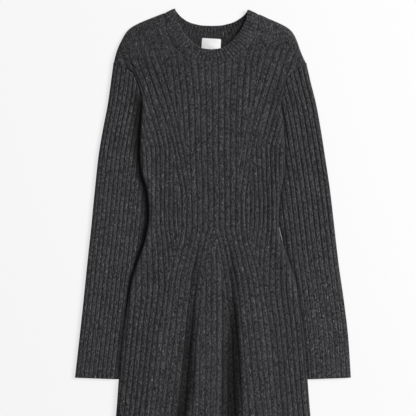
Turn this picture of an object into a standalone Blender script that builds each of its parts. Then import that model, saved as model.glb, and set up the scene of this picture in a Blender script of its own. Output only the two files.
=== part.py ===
"""Sweater dress laid flat on its back: rib-knit front and back, two long sleeves, a crew
neckband and a bare label sewn in at the back of the neck.

Metres, +Z up. The neck points to +Y and the dress rests on z = 0. The origin is at the middle
of the surface that it covers. Left and right are the wearer's: the right sleeve lies towards -X.
All the sizes below are in millimetres.
"""

import bmesh
import bpy
import numpy as np

MM = 0.001

# Heights above the surface, and the walls between them.
BACK_WALL = 2.6
FRONT_UNDER = 2.9  # underside of the front where it lies on the back
WALL = 2.4  # cloth at the bottom of a rib valley
RIB_RISE = 1.6  # how far a rib stands above its valleys
FRONT_TOP = 7.0  # rib valleys of the front where it lies flat
EDGE_WALL = 1.2  # cloth left at a folded edge
EDGE_ROUND = 8.0  # width over which the front curves down to a folded edge
ARM_DIP, ARM_DIP_WIDTH = 0.8, 3.0  # the armhole seam sinks a little
BACK_EDGE_LIFT, BACK_EDGE_WIDTH = 0.9, 2.5
RIB_SHOULDERS = (0.3, 0.7)  # where the top of a rib begins and ends, across the rib
LEAST_RIB = 4.2  # a rib narrower than this ends on its neighbour
EDGE_CLEAR = 3.5  # no valley comes nearer to an edge
RIB_AT_FOLD = 0.2  # share of its height that a rib keeps at a folded edge
BACK_CLEAR = 6.0  # no line of the back comes nearer to its edge
SHOULDER_STEPS, SIDE_STEPS = 30, 60  # points along each folded edge, to measure from

SLEEVE_TOP = 5.6
SLEEVE_RISE = 0.9  # the sleeve head rises to meet the shoulder
SLEEVE_MID = 2.9
SLEEVE_FLOOR = 2.4
SLEEVE_ROUND = 9.0
SLEEVE_FOLD = 5.0  # cloth at the folded edge of a sleeve, across
SLEEVE_RIM_IN, SLEEVE_RIM_UP = 1.5, 1.1  # lower corner of that edge
SLEEVE_HOLLOW_MID = 2.8  # height of the two ends of the hollow
SLEEVE_HOLLOW_SHARES = (0.3, 0.7)  # where the hollow is widest, across the sleeve
SLEEVE_RIB_AT_FOLD = 0.1
SLEEVE_SAMPLES = 81  # points along a row of a sleeve, to measure from
SLEEVE_CLEAR = 1.2  # between a sleeve and the side of the body
ARMHOLE_GAP = 0.9
SLEEVE_PITCH = {"right": 9.2, "left": 10.5}
OPEN_GAP_Y, OPEN_GAP_HALF, OPEN_GAP = -17.0, 27.0, 5.5  # the left sleeve stands off the waist here

BAND_WALL = 2.9
BAND_UNDER = 4.3
BAND_RIB = 1.1
BAND_RIB_ENDS = 0.5  # share of that height at the two ends of a rib
BAND_RIB_PITCH = 7.2
BAND_EDGE_DROP = 0.8
BAND_GAP = 0.8
BAND_FOLD_STEPS = 5
NECK_X = -4.0

LABEL_WIDTH, LABEL_LENGTH, LABEL_THICK = 40.0, 26.0, 0.6
LABEL_TOP_Y, LABEL_CORNER = 387.0, 1.5

# Edges of the body. Columns: y, x at the wearer's right, x at the wearer's left.
SHOULDER = (
    (439, -103, 93),
    (429, -129, 114),
    (420, -151, 133),
    (411, -168, 150),
    (401, -181, 165),
    (386, -189, 173),
    (371, -197, 180),
    (356, -202, 185),
    (332, -208, 196),
)
ARMHOLE = (
    (332, -208, 196),
    (327, -194, 180),
    (322, -178, 171),
    (315, -169, 163),
    (304, -164, 155),
    (287, -158, 150),
    (266, -151, 147),
)
SIDE = (
    (266, -151, 147),
    (243, -150, 144),
    (211, -152, 148),
    (148, -154, 151),
    (110, -151, 150),
    (66, -139, 142),
    (22, -135, 138),
    (1, -136, 136),
    (-16, -139, 139),
    (-39, -144, 149),
    (-76, -157, 159),
    (-121, -171, 174),
    (-167, -178, 183),
    (-240, -189, 193),
    (-328, -197, 197),
    (-404, -203, 203),
    (-450, -208, 208),
)

# Outer edges of the sleeves. Columns: y, x of the right sleeve, x of the left sleeve.
SLEEVE_OUTER = (
    (332, -208, 196),
    (295, -214, 204),
    (249, -220, 215),
    (197, -230, 225),
    (140, -240, 234),
    (66, -247, 245),
    (-16, -255, 256),
    (-85, -263, 265),
    (-173, -272, 277),
    (-242, -280, 284),
    (-326, -288, 288),
)

# Rows of a sleeve. Columns: y at the outer edge, y at the inner edge, share of the armhole's bend.
SLEEVE_ROWS = (
    (332, 266, 1.00),
    (322, 256, 0.85),
    (305, 243, 0.65),
    (284, 228, 0.45),
    (258, 210, 0.28),
    (226, 190, 0.14),
    (190, 166, 0.05),
    (152, 140, 0.0),
    (110, 106, 0.0),
    (66, 66, 0.0),
    (28, 28, 0.0),
    (4, 4, 0.0),
    (-16, -16, 0.0),
    (-36, -36, 0.0),
    (-62, -62, 0.0),
    (-100, -100, 0.0),
    (-145, -145, 0.0),
    (-195, -195, 0.0),
    (-250, -250, 0.0),
    (-300, -300, 0.0),
    (-322, -322, 0.0),
    (-326, -326, 0.0),
)

# Rib lines of one half of the body, as distances from the centre line. Below the waist the wedge
# opens at the centre; the yoke and lens ribs run only where their neighbours leave room, and
# the lens rib next to the side line runs up to the shoulder.
# Columns: y, wedge edge, princess line, dart line, inset line, side line, pitch of the yoke,
# lens, side and wedge ribs.
RIB_LINES = (
    (440, 0, 92, 145, 176, 209.7, 13.4, 14.7, 14.7, 11.6),
    (341, 0, 59, 112, 140, 169.3, 13.2, 14.3, 14.3, 11.6),
    (257, 0, 51, 86, 112, 138.6, 12.6, 11.6, 11.6, 11.6),
    (194, 0, 49, 71, 92, 120.5, 10.9, 10.5, 10.5, 11.6),
    (152, 0, 48, 63, 81, 110.7, 10.5, 9.7, 9.7, 11.6),
    (110, 0, 47.5, 56, 75, 111.2, 10.5, 9.2, 9.2, 11.6),
    (37, 0, 46, 46, 67, 113, 10.5, 9.0, 9.0, 11.6),
    (-7, 0, 46, 46, 68, 112.2, 10.5, 9.2, 9.6, 11.6),
    (-37, 9, 50, 50, 71, 108.4, 10.5, 9.6, 11.0, 11.3),
    (-83, 18, 60, 60, 85, 105, 10.5, 10.1, 11.8, 11.3),
    (-121, 24, 70, 70, 93, 104, 10.5, 11.3, 11.9, 11.3),
    (-226, 36, 82, 82, 105, 117, 10.5, 11.3, 11.1, 11.8),
    (-331, 42, 95, 95, 116, 127, 10.5, 11.3, 10.9, 12.0),
    (-450, 48, 109, 109, 129, 139, 10.5, 11.3, 10.9, 12.2),
)
MIDDLE_RIBS = 4  # ribs between the wedge edge and the princess line
MOST_WEDGE_RIBS, MOST_YOKE_RIBS, LENS_RIBS, MOST_SIDE_RIBS, MOST_SLEEVE_RIBS = 6, 5, 4, 12, 15
WEDGE_TOP_Y, LENS_TOP_Y = -8, 198
SPINE = (-1, ("spine", 0))  # name of the valley on the centre line

# The body's centre line. Columns: y, x.
CENTRE = ((440, -4), (337, -4), (257, -2), (152, -1), (37, 1), (-37, 1), (-226, 2), (-450, 0))

# Folds of the skirt. Columns: y, then x of the right plateau, right trough, edge of the centre
# panel, centre panel, left trough, left fold edge and left plateau.
FOLD_X = (
    (-58, -59, -32, -27, 1, 33, 40, 62),
    (-83, -59, -35, -27, 1, 37, 43, 67),
    (-121, -69, -38, -28, 1, 41, 48, 80),
    (-163, -80, -42, -29, 0, 46, 53, 94),
    (-226, -93, -47, -34, -1, 50, 59, 104),
    (-289, -104, -51, -37, -2, 54, 62, 113),
    (-373, -116, -57, -42, -3, 55, 64, 123),
    (-450, -127, -62, -45, -5, 56, 66, 132),
)
# Columns: y, then how far each of those lines lies above or below the flat front.
FOLD_RISE = (
    (-37, 0.0, 0.0, 0.0, 0.0, 0.0, 0.0, 0.0),
    (-83, 0.3, -0.4, 2.2, 1.0, -0.4, 1.8, 0.5),
    (-121, 0.8, -0.7, 4.5, 2.8, -0.7, 4.0, 2.0),
    (-163, 1.2, -0.8, 6.5, 4.2, -0.8, 6.5, 3.0),
    (-226, 1.6, -0.8, 8.5, 5.8, -0.8, 8.5, 3.8),
    (-289, 1.8, -0.8, 9.5, 6.6, -0.8, 9.5, 4.0),
    (-450, 1.9, -0.8, 10.0, 7.5, -0.8, 10.0, 4.3),
)

# Neckband, one half from the shoulder to the middle, measured from the middle of the neck.
# Columns: x and y of the neckline edge, x and y of the seam.
BAND_FRONT = (
    (76, 446.9, 96, 437.9),
    (73, 431, 97, 424),
    (67, 417, 95, 407),
    (60, 404, 89, 391),
    (52, 393, 80, 376),
    (42, 382, 68, 362),
    (31, 373, 51, 350),
    (17, 366, 28, 341),
    (0, 364, 0, 338),
)
BAND_BACK = (
    (76, 446.9, 96, 437.9),
    (68, 436, 89, 419),
    (59, 427, 76, 406),
    (48, 420, 60, 397),
    (34, 416, 42, 392),
    (18, 413, 22, 389),
    (0, 412, 0, 388),
)

# Rows of the panels, as y. The shoulder rows stop at the neck; the body rows run right across.
FRONT_SHOULDER_ROWS = (436, 425, 413, 400, 388, 375, 362, 352, 346, 342, 339.5)
FRONT_BODY_ROWS = (
    (338, 332, 327, 322, 315, 304, 287, 266, 241, 207, 173, 140, 106, 73, 37, 14, -7)
    + (-26, -45, -64, -91, -125, -173, -226, -278, -331, -389, -441, -450)
)
BACK_SHOULDER_ROWS = (436, 427, 419, 412, 406, 401, 397, 394, 391)
BACK_BODY_ROWS = (
    (388, 371, 351, 332, 327, 322, 315, 304, 287, 266, 243, 211, 148, 110, 66, 22, 1)
    + (-16, -39, -76, -121, -167, -240, -328, -404, -450)
)
# Rib lines that the plain back follows.
BACK_LINES = (SPINE[1], ("middle", 2), ("middle", 4), ("dart", 2), ("side", 0))

CLOTH_COLOR = (0.045, 0.045, 0.05)
BACK_COLOR = (0.038, 0.038, 0.042)
BAND_COLOR = (0.042, 0.042, 0.046)
LABEL_COLOR = (0.8, 0.8, 0.78)
CLOTH_ROUGHNESS, LABEL_ROUGHNESS = 0.95, 0.6
SHARP_ANGLE = 50.0  # degrees, for the shading


def curve(table, column):
    """A smooth curve through one column of a table, with no overshoot, as a function of y."""
    rows = sorted((row[0], row[column]) for row in table)
    ys, values = np.array(rows, float).T
    slope = np.diff(values) / np.diff(ys)
    tangent = np.zeros(len(ys))
    for i in range(1, len(ys) - 1):
        before, after = slope[i - 1], slope[i]
        if before * after > 0:
            tangent[i] = 2 * before * after / (before + after)
    tangent[0], tangent[-1] = slope[0], slope[-1]

    def value(y):
        y = np.clip(y, ys[0], ys[-1])
        k = np.clip(np.searchsorted(ys, y, side="right") - 1, 0, len(ys) - 2)
        step = ys[k + 1] - ys[k]
        t = (y - ys[k]) / step
        start = (1 + 2 * t) * (1 - t) ** 2 * values[k] + t * (1 - t) ** 2 * step * tangent[k]
        end = t * t * (3 - 2 * t) * values[k + 1] + t * t * (t - 1) * step * tangent[k + 1]
        return float(start + end)

    return value


def straight(table, column):
    """Straight lines through one column of a table, as a function of y."""
    rows = sorted((row[0], row[column]) for row in table)
    ys, values = np.array(rows, float).T
    return lambda y: float(np.interp(y, ys, values))


EDGE_PARTS = [
    (curve(SHOULDER, column), straight(ARMHOLE, column), curve(SIDE, column))
    for column in (1, 2)
]
SLEEVE_EDGES = {"right": curve(SLEEVE_OUTER, 1), "left": curve(SLEEVE_OUTER, 2)}
centre_x = curve(CENTRE, 1)
rib_line = [curve(RIB_LINES, column) for column in range(1, len(RIB_LINES[0]))]
fold_x = [curve(FOLD_X, column) for column in range(1, len(FOLD_X[0]))]
fold_rise = [curve(FOLD_RISE, column) for column in range(1, len(FOLD_RISE[0]))]
front_neck_half = curve([(row[3], row[2]) for row in BAND_FRONT], 1)
back_neck_half = curve([(row[3], row[2]) for row in BAND_BACK], 1)


def body_edge(y, hand):
    """x of the body's edge at y; hand is 0 for the wearer's right and 1 for the left."""
    shoulder, armhole, side = EDGE_PARTS[hand]
    if y >= ARMHOLE[0][0]:
        return shoulder(y)
    if y >= ARMHOLE[-1][0]:
        return armhole(y)
    return side(y)


def polyline(parts, ys):
    return [np.array([(part(y), y) for y in ys]) for part in parts]


FOLDED_EDGES = polyline(
    [EDGE_PARTS[0][0], EDGE_PARTS[1][0]],
    np.linspace(SHOULDER[0][0], SHOULDER[-1][0], SHOULDER_STEPS),
) + polyline(
    [EDGE_PARTS[0][2], EDGE_PARTS[1][2]], np.linspace(SIDE[0][0], SIDE[-1][0], SIDE_STEPS)
)
ARM_SEAMS = polyline([EDGE_PARTS[0][1], EDGE_PARTS[1][1]], [row[0] for row in ARMHOLE])


def distance(x, y, lines):
    """From (x, y) to the nearest of some polylines."""
    nearest = np.inf
    for line in lines:
        start, run = line[:-1], np.diff(line, axis=0)
        along = ((np.array((x, y)) - start) * run).sum(axis=1) / (run * run).sum(axis=1)
        foot = start + np.clip(along, 0, 1)[:, None] * run
        nearest = min(nearest, np.hypot(foot[:, 0] - x, foot[:, 1] - y).min())
    return nearest


def quarter_round(distance_in, width):
    """0 at an edge, rising like a quarter circle to 1 at width."""
    t = min(distance_in / width, 1)
    return np.sqrt(1 - (1 - t) ** 2)


def fold_height(x, y):
    """How far the skirt's folds lift the front at (x, y)."""
    lines = [(body_edge(y, 0), 0.0)]
    lines += [(line(y), rise(y)) for line, rise in zip(fold_x, fold_rise)]
    lines += [(body_edge(y, 1), 0.0)]
    if y > FOLD_RISE[0][0]:
        return 0.0
    for (x0, low), (x1, high) in zip(lines, lines[1:]):
        if x <= x1:
            t = np.clip((x - x0) / (x1 - x0), 0, 1)
            return low + (high - low) * t * t * (3 - 2 * t)
    return 0.0


def front_height(x, y):
    """Top of the front at the bottom of its rib valleys."""
    edge = FRONT_UNDER + EDGE_WALL
    inside = quarter_round(distance(x, y, FOLDED_EDGES), EDGE_ROUND)
    z = edge + (FRONT_TOP + fold_height(x, y) - edge) * inside
    near_seam = np.exp(-((distance(x, y, ARM_SEAMS) / ARM_DIP_WIDTH) ** 2))
    return z - ARM_DIP * near_seam * inside


def rib_valleys(y):
    """Name and distance from the centre line of each rib valley of one half, outwards."""
    wedge, princess, dart, inset, side, yoke_pitch, lens_pitch, side_pitch, wedge_pitch = (
        line(y) for line in rib_line
    )
    if y > WEDGE_TOP_Y:
        wedge = 0.0
    found = []
    for j in range(MOST_WEDGE_RIBS):
        if (j + 0.5) * wedge_pitch < wedge - LEAST_RIB:
            found.append((("wedge", j), (j + 0.5) * wedge_pitch))
    for j in range(MIDDLE_RIBS + 1):
        found.append((("middle", j), wedge + (princess - wedge) * j / MIDDLE_RIBS))
    for j in range(1, MOST_YOKE_RIBS + 1):
        if princess + j * yoke_pitch < dart - LEAST_RIB:
            found.append((("yoke", j), princess + j * yoke_pitch))
    if dart > princess + LEAST_RIB:
        found.append((("dart", 0), dart))
    found.append((("dart", 1), (dart + inset) / 2))
    found.append((("dart", 2), inset))
    for j in range(LENS_RIBS, 0, -1):
        if (j == 1 or y < LENS_TOP_Y) and side - j * lens_pitch > inset + LEAST_RIB:
            found.append((("lens", j), side - j * lens_pitch))
    for j in range(MOST_SIDE_RIBS):
        found.append((("side", j), side + j * side_pitch))
    return found


def valley_row(y, x_from, x_to):
    """(name, x) of the rib valleys between two edges at height y, from -X to +X."""
    row = []
    for hand, way in ((0, -1), (1, 1)):
        for name, offset in rib_valleys(y):
            x = centre_x(y) + way * offset
            key = (hand, name) if offset else SPINE
            if x_from + EDGE_CLEAR < x < x_to - EDGE_CLEAR:
                row.append((key, x))
    return sorted(dict(row).items(), key=lambda item: item[1])


def with_ribs(row, x_from, x_to, middle):
    """The row with its ends and with the two top corners of each rib, as (name, x, share of rise)."""
    row = [("start", x_from)] + row + [("end", x_to)]
    points = [("start", x_from, 0.0)]
    for (name0, x0), (name1, x1) in zip(row, row[1:]):
        outer = name0 if x0 + x1 < 2 * middle else name1
        rise = min(1.0, (x1 - x0) / LEAST_RIB / 2)
        for k, share in enumerate(RIB_SHOULDERS):
            order = k if x0 + x1 < 2 * middle else 1 - k
            points.append((("rib", outer, order), x0 + (x1 - x0) * share, rise))
        points.append((name1, x1, 0.0))
    return points


def plain(row, y):
    """Every other valley of a row, and all of those in the folds."""
    kept = []
    for name, x in row:
        family, number = name[1]
        in_folds = y < FOLD_RISE[0][0] and family in ("wedge", "middle")
        if number % 2 == 0 or in_folds:
            kept.append((name, x))
    return kept


def make_row(mesh, points, y):
    """Vertices of a row given as (name, x, z)."""
    return [(name, mesh.verts.new((x * MM, y * MM, z * MM))) for name, x, z in points]


def strip(mesh, upper, lower):
    """Faces between two rows of (name, vertex). Points with the same name are joined."""
    places = {name: j for j, (name, _) in enumerate(lower)}
    pairs = [(i, places[name]) for i, (name, _) in enumerate(upper) if name in places]
    for (i, j), (i_end, j_end) in zip(pairs, pairs[1:]):
        if (i_end - i, j_end - j) == (1, 1):
            mesh.faces.new((upper[i][1], upper[i_end][1], lower[j_end][1], lower[j][1]))
            continue
        here = [row[k][1].co.x for row, k in ((upper, i), (lower, j))]
        span = [row[k][1].co.x for row, k in ((upper, i_end), (lower, j_end))]
        while i < i_end or j < j_end:
            ahead = [np.inf, np.inf]
            for side, (row, k, last) in enumerate(((upper, i, i_end), (lower, j, j_end))):
                if k < last:
                    run = span[side] - here[side]
                    ahead[side] = (row[k + 1][1].co.x - here[side]) / run if run else 1.0
            if ahead[0] <= ahead[1]:
                mesh.faces.new((upper[i][1], upper[i + 1][1], lower[j][1]))
                i += 1
            else:
                mesh.faces.new((upper[i][1], lower[j + 1][1], lower[j][1]))
                j += 1


def block(mesh, outer, inner):
    """Both faces of a wall and its two long edges, from rows of its outer and inner points."""
    for rows in (outer, inner):
        for upper, lower in zip(rows, rows[1:]):
            strip(mesh, upper, lower)
    for end in (0, -1):
        for k in range(len(outer) - 1):
            corners = [outer[k], outer[k + 1], inner[k + 1], inner[k]]
            mesh.faces.new([row[end][1] for row in corners])


def finish(mesh, name, color, roughness=CLOTH_ROUGHNESS):
    """A smooth-shaded object with its own material, from a closed mesh."""
    bmesh.ops.recalc_face_normals(mesh, faces=mesh.faces)
    data = bpy.data.meshes.new(name)
    mesh.to_mesh(data)
    mesh.free()
    data.shade_smooth()
    data.set_sharp_from_angle(angle=np.radians(SHARP_ANGLE))
    material = bpy.data.materials.new(name)
    material.use_nodes = True
    shader = material.node_tree.nodes["Principled BSDF"]
    shader.inputs["Base Color"].default_value = (*color, 1)
    shader.inputs["Roughness"].default_value = roughness
    shader.inputs["Metallic"].default_value = 0.0
    data.materials.append(material)
    obj = bpy.data.objects.new(name, data)
    bpy.context.scene.collection.objects.link(obj)


def panel(name, shoulder_rows, body_rows, neck_half, make_rows):
    """A body panel: a block at each shoulder, cut by the neck, over one that runs right across."""
    mesh = bmesh.new()
    body = [make_rows(mesh, y, body_edge(y, 0), body_edge(y, 1)) for y in body_rows]
    outer, inner = zip(*body)
    block(mesh, outer, inner)
    strip(mesh, outer[-1], inner[-1])
    for hand in (0, 1):
        rows = []
        for y in shoulder_rows:
            neck = NECK_X + (-1, 1)[hand] * neck_half(y)
            ends = (body_edge(y, 0), neck) if hand == 0 else (neck, body_edge(y, 1))
            rows.append(make_rows(mesh, y, *ends))
        last = []
        for row in (outer[0], inner[0]):
            middle = [key for key, _ in row].index(SPINE)
            if hand == 0:
                last.append(row[:middle] + [("end", row[middle][1])])
            else:
                last.append([("start", row[middle][1])] + row[middle + 1 :])
        shoulder_outer, shoulder_inner = zip(*rows, last)
        block(mesh, shoulder_outer, shoulder_inner)
        strip(mesh, shoulder_outer[0], shoulder_inner[0])
    return mesh


def rib_room(x, y):
    """Ribs fade out towards a folded edge."""
    return min(1.0, distance(x, y, FOLDED_EDGES) / EDGE_ROUND + RIB_AT_FOLD)


def front_rows(mesh, y, x_from, x_to):
    """Ribbed outer points and plain inner points of one row of the front."""
    valleys = valley_row(y, x_from, x_to)
    outer = [
        (name, x, front_height(x, y) + rise * RIB_RISE * rib_room(x, y))
        for name, x, rise in with_ribs(valleys, x_from, x_to, centre_x(y))
    ]
    inner = [("start", x_from)] + plain(valleys, y) + [("end", x_to)]
    inner = [(name, x, max(front_height(x, y) - WALL, FRONT_UNDER)) for name, x in inner]
    return make_row(mesh, outer, y), make_row(mesh, inner, y)


def back_rows(mesh, y, x_from, x_to):
    """The back is plain: its ribbed side is the one that rests flat."""
    valleys = [item for item in valley_row(y, x_from, x_to) if item[0][1] in BACK_LINES]
    points = [("start", x_from), ("start rim", x_from + BACK_EDGE_WIDTH)]
    points += [item for item in valleys if x_from + BACK_CLEAR < item[1] < x_to - BACK_CLEAR]
    points += [("end rim", x_to - BACK_EDGE_WIDTH), ("end", x_to)]
    outer = []
    for name, x in points:
        lift = 1 - quarter_round(distance(x, y, FOLDED_EDGES), BACK_EDGE_WIDTH)
        outer.append((name, x, BACK_EDGE_LIFT * lift))
    inner = [(name, x, BACK_WALL) for name, x in points]
    return make_row(mesh, outer, y), make_row(mesh, inner, y)


def sleeve_row(y_out, y_in, bend, hand):
    """x and y along one row of a sleeve, from its outer edge to its inner edge."""
    way = (-1, 1)[hand == "left"]
    column = 1 + (hand == "left")
    x_out = SLEEVE_EDGES[hand](y_out)
    gap = SLEEVE_CLEAR
    if hand == "left":
        off = min(abs(y_in - OPEN_GAP_Y) / OPEN_GAP_HALF, 1)
        gap += OPEN_GAP * (1 - off * off * (3 - 2 * off))
    x_in = body_edge(y_in, column - 1) + way * gap
    s = np.linspace(0, 1, SLEEVE_SAMPLES)
    seam_x = np.array([row[column] for row in ARMHOLE], float)
    seam_y = np.array([row[0] for row in ARMHOLE], float)
    seam_s = (seam_x - seam_x[0]) / (seam_x[-1] - seam_x[0])
    seam = np.interp(s, seam_s, seam_y) - ARMHOLE_GAP
    chord = seam_y[0] + (seam_y[-1] - seam_y[0]) * s
    x = x_out + (x_in - x_out) * s
    y = y_out + (y_in - y_out) * s + bend * (seam - chord)
    return x, y


def sleeve_section(mesh, hand, y_out, y_in, bend):
    """Four rows of points round one section: ribbed top, bottom, and the two faces of the hollow."""
    x, y = sleeve_row(y_out, y_in, bend, hand)
    from_outer = np.abs(x - [SLEEVE_EDGES[hand](value) for value in y])
    from_outer[0] = 0.0
    to_inner = np.hypot(x - x[-1], y - y[-1])
    width = from_outer[-1]

    def place(d, z):
        at = (np.interp(d, from_outer, x), np.interp(d, from_outer, y), z)
        return mesh.verts.new([value * MM for value in at])

    pitch = SLEEVE_PITCH[hand]
    valleys = [(("valley", j), j * pitch) for j in range(1, MOST_SLEEVE_RIBS + 1)]
    valleys = [valley for valley in valleys if valley[1] < width - EDGE_CLEAR]
    flat_top = SLEEVE_TOP + SLEEVE_RISE * bend
    top = []
    for key, d, rise in with_ribs(valleys, 0.0, width, 0.0):
        near = min(d, float(np.interp(d, from_outer, to_inner)))
        z = SLEEVE_MID + (flat_top - SLEEVE_MID) * quarter_round(near, SLEEVE_ROUND)
        z += RIB_RISE * rise * min(1, near / SLEEVE_ROUND + SLEEVE_RIB_AT_FOLD)
        top.append((key, place(d, z)))
    low_d = (SLEEVE_RIM_IN, SLEEVE_FOLD, width - SLEEVE_FOLD, width - SLEEVE_RIM_IN)
    low_z = (SLEEVE_RIM_UP, 0.0, 0.0, SLEEVE_RIM_UP)
    bottom = [(("low", k), place(d, z)) for k, (d, z) in enumerate(zip(low_d, low_z))]
    bottom = [("start", top[0][1])] + bottom + [("end", top[-1][1])]
    ends = [place(d, SLEEVE_HOLLOW_MID) for d in (SLEEVE_FOLD, width - SLEEVE_FOLD)]
    faces = []
    for z in (flat_top - WALL, SLEEVE_FLOOR):
        face = [(("mid", k), place(width * at, z)) for k, at in enumerate(SLEEVE_HOLLOW_SHARES)]
        faces.append([("start", ends[0])] + face + [("end", ends[1])])
    return top, bottom, *faces


def sleeve(hand, name):
    """A flat tube, open at the armhole and the cuff, with ribs along its upper side."""
    mesh = bmesh.new()
    sections = [sleeve_section(mesh, hand, *row) for row in SLEEVE_ROWS]
    for section, after in zip(sections, sections[1:]):
        for upper, lower in zip(section, after):
            strip(mesh, upper, lower)
    for top, bottom, ceiling, floor in (sections[0], sections[-1]):
        strip(mesh, top, ceiling)
        strip(mesh, bottom, floor)
    finish(mesh, name, CLOTH_COLOR)


def band_half(table):
    """Half of the neckband as curves along its middle: length, and (edge x, y, seam x, y)."""
    rows = np.array(table, float)
    middle = (rows[:, :2] + rows[:, 2:]) / 2
    steps = np.hypot(*np.diff(middle, axis=0).T)
    along = np.concatenate([[0], np.cumsum(steps)])
    keyed = [(s, *row) for s, row in zip(along, rows)]
    return along[-1], [curve(keyed, column) for column in range(1, 5)]


def band_station(point, way, up, rib, fold=None):
    """Six points round the band at one place: seam, middle and edge of its outer face, then back
    along its inner face. At the shoulder the band turns over by the angle fold."""
    edge, seam = np.array(point[:2]), np.array(point[2:])
    across = (edge - seam) / np.hypot(*(edge - seam))
    seam = seam + across * BAND_GAP
    middle = (edge + seam) / 2
    outward = np.array((-across[1], across[0]))
    outward = outward * np.sign(outward[1])
    outer_half = (BAND_UNDER + BAND_WALL) / 2
    inner_half = (BAND_UNDER - BACK_WALL) / 2
    if fold is None:
        fold = np.pi / 2 if up else -np.pi / 2
    outer_z = outer_half * (1 + np.sin(fold))
    inner_z = BACK_WALL + inner_half * (1 + np.sin(fold))
    outer_out, inner_out = outer_half * np.cos(fold), inner_half * np.cos(fold)
    points = []
    for place, swell in ((seam, 0.0), (middle, 1.0), (edge, 0.0)):
        rise = rib * BAND_RIB * (BAND_RIB_ENDS + (1 - BAND_RIB_ENDS) * swell)
        z = outer_z + rise - BAND_EDGE_DROP * (1 - swell) if up else outer_z
        points.append((place + outward * outer_out, z))
    for place, swell in ((edge, 0.0), (middle, 1.0), (seam, 0.0)):
        rise = rib * BAND_RIB * (BAND_RIB_ENDS + (1 - BAND_RIB_ENDS) * swell)
        points.append((place + outward * inner_out, inner_z if up else inner_z + rise))
    return [(NECK_X + way * at[0], at[1], z) for at, z in points]


def neckband():
    """A ribbed ring folded flat at the shoulders: its front half lies on top, its back half below."""
    mesh = bmesh.new()
    stations = []
    for table, up, ways in ((BAND_FRONT, True, (-1, 1)), (BAND_BACK, False, (1, -1))):
        length, lines = band_half(table)
        half_steps = 2 * round(length / BAND_RIB_PITCH)
        for k in range(-half_steps, half_steps + 1):
            way = ways[0] if k < 0 else ways[1]
            s = length * (1 - abs(k) / half_steps)
            rib = float(k % 2 == 1) if abs(k) < half_steps else 0.0
            stations.append(band_station([line(s) for line in lines], way, up, rib))
        tip = [line(0.0) for line in lines]
        for k in range(1, BAND_FOLD_STEPS):
            turn = np.pi * k / BAND_FOLD_STEPS - np.pi / 2
            stations.append(band_station(tip, ways[1], False, 0.0, -turn if up else turn))
    rings = []
    for points in stations:
        ring = [mesh.verts.new([value * MM for value in point]) for point in points]
        rings.append(ring)
    for ring, after in zip(rings, rings[1:] + rings[:1]):
        for k in range(len(ring)):
            k_next = (k + 1) % len(ring)
            mesh.faces.new((ring[k], ring[k_next], after[k_next], after[k]))
    finish(mesh, "neckband", BAND_COLOR)


def label():
    """A blank woven tab that lies on the back just under the neck seam."""
    mesh = bmesh.new()
    bmesh.ops.create_cube(mesh, size=1.0)
    size = np.array((LABEL_WIDTH, LABEL_LENGTH, LABEL_THICK)) * MM
    bmesh.ops.scale(mesh, vec=size, verts=mesh.verts)
    upright = [edge for edge in mesh.edges if abs(edge.verts[0].co.z - edge.verts[1].co.z) > 1e-6]
    bmesh.ops.bevel(
        mesh, geom=upright, offset=LABEL_CORNER * MM, segments=2, profile=0.5, affect="EDGES"
    )
    place = np.array((NECK_X, LABEL_TOP_Y - LABEL_LENGTH / 2, FRONT_UNDER + LABEL_THICK / 2)) * MM
    bmesh.ops.translate(mesh, vec=place, verts=mesh.verts)
    finish(mesh, "label", LABEL_COLOR, LABEL_ROUGHNESS)


def main():
    for obj in list(bpy.data.objects):
        bpy.data.objects.remove(obj)
    back = panel("back", BACK_SHOULDER_ROWS, BACK_BODY_ROWS, back_neck_half, back_rows)
    finish(back, "back", BACK_COLOR)
    front = panel("front", FRONT_SHOULDER_ROWS, FRONT_BODY_ROWS, front_neck_half, front_rows)
    finish(front, "front", CLOTH_COLOR)
    sleeve("right", "sleeve_right")
    sleeve("left", "sleeve_left")
    neckband()
    label()


main()
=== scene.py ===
"""Looks of a sweater dress laid flat: heather grey rib knit, seen from straight above.

Sizes are in millimetres until a mesh is placed; +Y runs from hem to neck, and left and right
are the wearer's, so the right sleeve lies towards -X.
"""

import math

import bmesh
import bpy
import numpy as np
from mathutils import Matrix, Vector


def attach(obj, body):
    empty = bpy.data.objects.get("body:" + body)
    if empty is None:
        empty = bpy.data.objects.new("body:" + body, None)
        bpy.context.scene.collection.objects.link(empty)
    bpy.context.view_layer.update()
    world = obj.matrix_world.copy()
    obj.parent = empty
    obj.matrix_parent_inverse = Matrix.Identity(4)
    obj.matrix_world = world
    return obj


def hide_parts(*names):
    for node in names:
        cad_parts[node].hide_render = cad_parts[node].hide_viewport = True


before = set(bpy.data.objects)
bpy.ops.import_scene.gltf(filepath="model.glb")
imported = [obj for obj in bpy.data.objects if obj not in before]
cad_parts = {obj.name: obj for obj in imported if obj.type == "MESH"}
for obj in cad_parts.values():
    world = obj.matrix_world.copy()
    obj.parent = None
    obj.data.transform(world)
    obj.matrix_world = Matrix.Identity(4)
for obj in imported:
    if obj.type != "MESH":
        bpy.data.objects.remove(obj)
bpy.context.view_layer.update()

MM = 0.001

# --- Outline and rib lines, as in the solids ---------------------------------------------------

NECK_X = -4.0
LEAST_RIB = 4.2  # a rib narrower than this merges with its neighbour
ARMHOLE_GAP = -0.2
SLEEVE_UNDER = 3.5  # how far the sleeve runs in under the side of the body
SLEEVE_PITCH = (9.2, 10.5)  # on the right and the left sleeve
# The slit of light between the left sleeve and the waist: its middle, half length and width.
OPEN_GAP_Y, OPEN_GAP_HALF, OPEN_GAP = -24.5, 26.0, 4.1
PANEL_TOP_Y, HEM_Y = 440, -450.0
SLEEVE_LENGTH = 658
# Lines of points along each piece, on its outer face and on its inner or under face.
FRONT_LINES, BACK_LINES, SLEEVE_LINES = (290, 44), (224, 130), (112, 84)

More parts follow.
